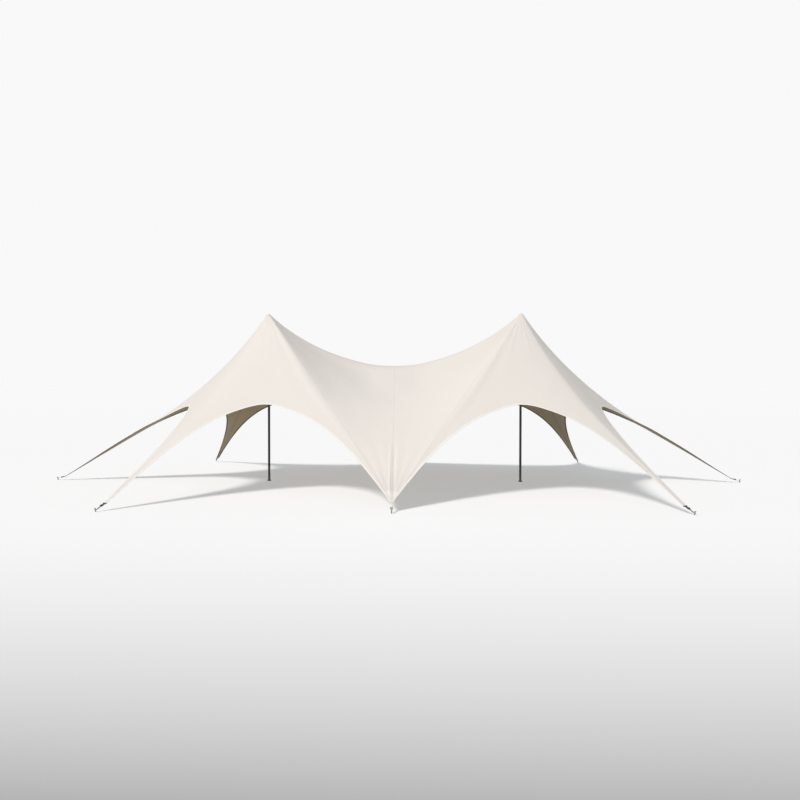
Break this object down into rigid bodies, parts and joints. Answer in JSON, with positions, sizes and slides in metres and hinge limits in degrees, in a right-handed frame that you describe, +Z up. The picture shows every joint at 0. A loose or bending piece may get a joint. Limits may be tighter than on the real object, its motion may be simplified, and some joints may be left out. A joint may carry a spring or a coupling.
{
  "type": "two-mast stretch tent",
  "caption": "Open star-shaped stretch tent: a tensioned cloth canopy over two masts, its arms pulled down to ground stakes by straps.",
  "frame": {"origin": "on the ground midway between the two masts", "axes": "+X along the line of the masts, towards the right end in the picture, +Y away from the picture's camera, +Z up"},
  "size_m": [20.4822, 11.9822, 5.0228],
  "materials": {
    "canopy_cloth": "matt woven cloth, off-white outside and khaki inside",
    "cap_cloth": "coated reinforcing cloth",
    "mast_paint": "satin black powder coat",
    "dark_fitting": "dark coated steel",
    "webbing": "pale woven webbing",
    "stake_steel": "zinc-plated steel"
  },
  "bodies": {
    "root": {"canopy_end_front_left": "canopy_cloth", "canopy_arch_front_left": "canopy_cloth", "canopy_saddle_front_left": "canopy_cloth", "canopy_end_back_left": "canopy_cloth", "canopy_arch_back_left": "canopy_cloth", "canopy_saddle_back_left": "canopy_cloth", "canopy_end_front_right": "canopy_cloth", "canopy_arch_front_right": "canopy_cloth", "canopy_saddle_front_right": "canopy_cloth", "canopy_end_back_right": "canopy_cloth", "canopy_arch_back_right": "canopy_cloth", "canopy_saddle_back_right": "canopy_cloth", "peak_cap_left": "cap_cloth", "mast_foot_left": "dark_fitting", "mast_head_left": "dark_fitting", "mast_lower_left": "mast_paint", "mast_upper_left": "mast_paint", "peak_cap_right": "cap_cloth", "mast_foot_right": "dark_fitting", "mast_head_right": "dark_fitting", "mast_lower_right": "mast_paint", "mast_upper_right": "mast_paint", "corner_plate_end_left": "dark_fitting", "strap_end_left": "webbing", "stake_end_left": "stake_steel", "corner_plate_front_left": "dark_fitting", "strap_front_left": "webbing", "stake_front_left": "stake_steel", "corner_plate_back_left": "dark_fitting", "strap_back_left": "webbing", "stake_back_left": "stake_steel", "corner_plate_end_right": "dark_fitting", "strap_end_right": "webbing", "stake_end_right": "stake_steel", "corner_plate_front_right": "dark_fitting", "strap_front_right": "webbing", "stake_front_right": "stake_steel", "corner_plate_back_right": "dark_fitting", "strap_back_right": "webbing", "stake_back_right": "stake_steel", "corner_plate_front_middle": "dark_fitting", "strap_front_middle": "webbing", "stake_front_middle": "stake_steel", "corner_plate_back_middle": "dark_fitting", "strap_back_middle": "webbing", "stake_back_middle": "stake_steel"}
  },
  "joints": []
}
